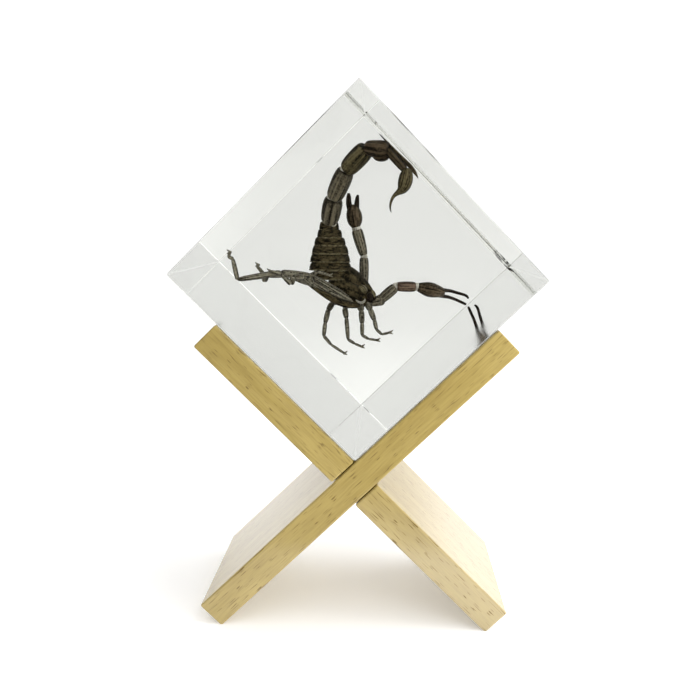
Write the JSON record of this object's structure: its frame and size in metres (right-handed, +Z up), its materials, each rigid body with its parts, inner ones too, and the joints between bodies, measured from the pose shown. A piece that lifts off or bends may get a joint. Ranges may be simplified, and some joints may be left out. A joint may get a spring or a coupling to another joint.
{
  "type": "scorpion in resin block on stand",
  "caption": "Dried fat-tailed scorpion sealed in a clear resin block that stands on edge in a cross-lapped beech stand.",
  "frame": {"origin": "On the ground, in the middle of the object's footprint box: midway between the feet of the stand, and midway between the resin block's front and back faces.", "axes": "+X to the right as seen from the front, +Y from the front face to the back, +Z up. The block's square faces look along -Y and +Y, standing on a corner."},
  "size_m": [0.1054, 0.08, 0.1579],
  "materials": {
    "beech": "light clear-coated beech with short dark flecks",
    "resin": "polished clear casting resin",
    "chitin": "dark olive-brown dried specimen, faintly glossy"
  },
  "bodies": {
    "root": {"stand_board_rising": "beech", "stand_board_falling": "beech", "resin_front": "resin", "resin_back": "resin", "scorpion": "chitin"}
  },
  "joints": []
}
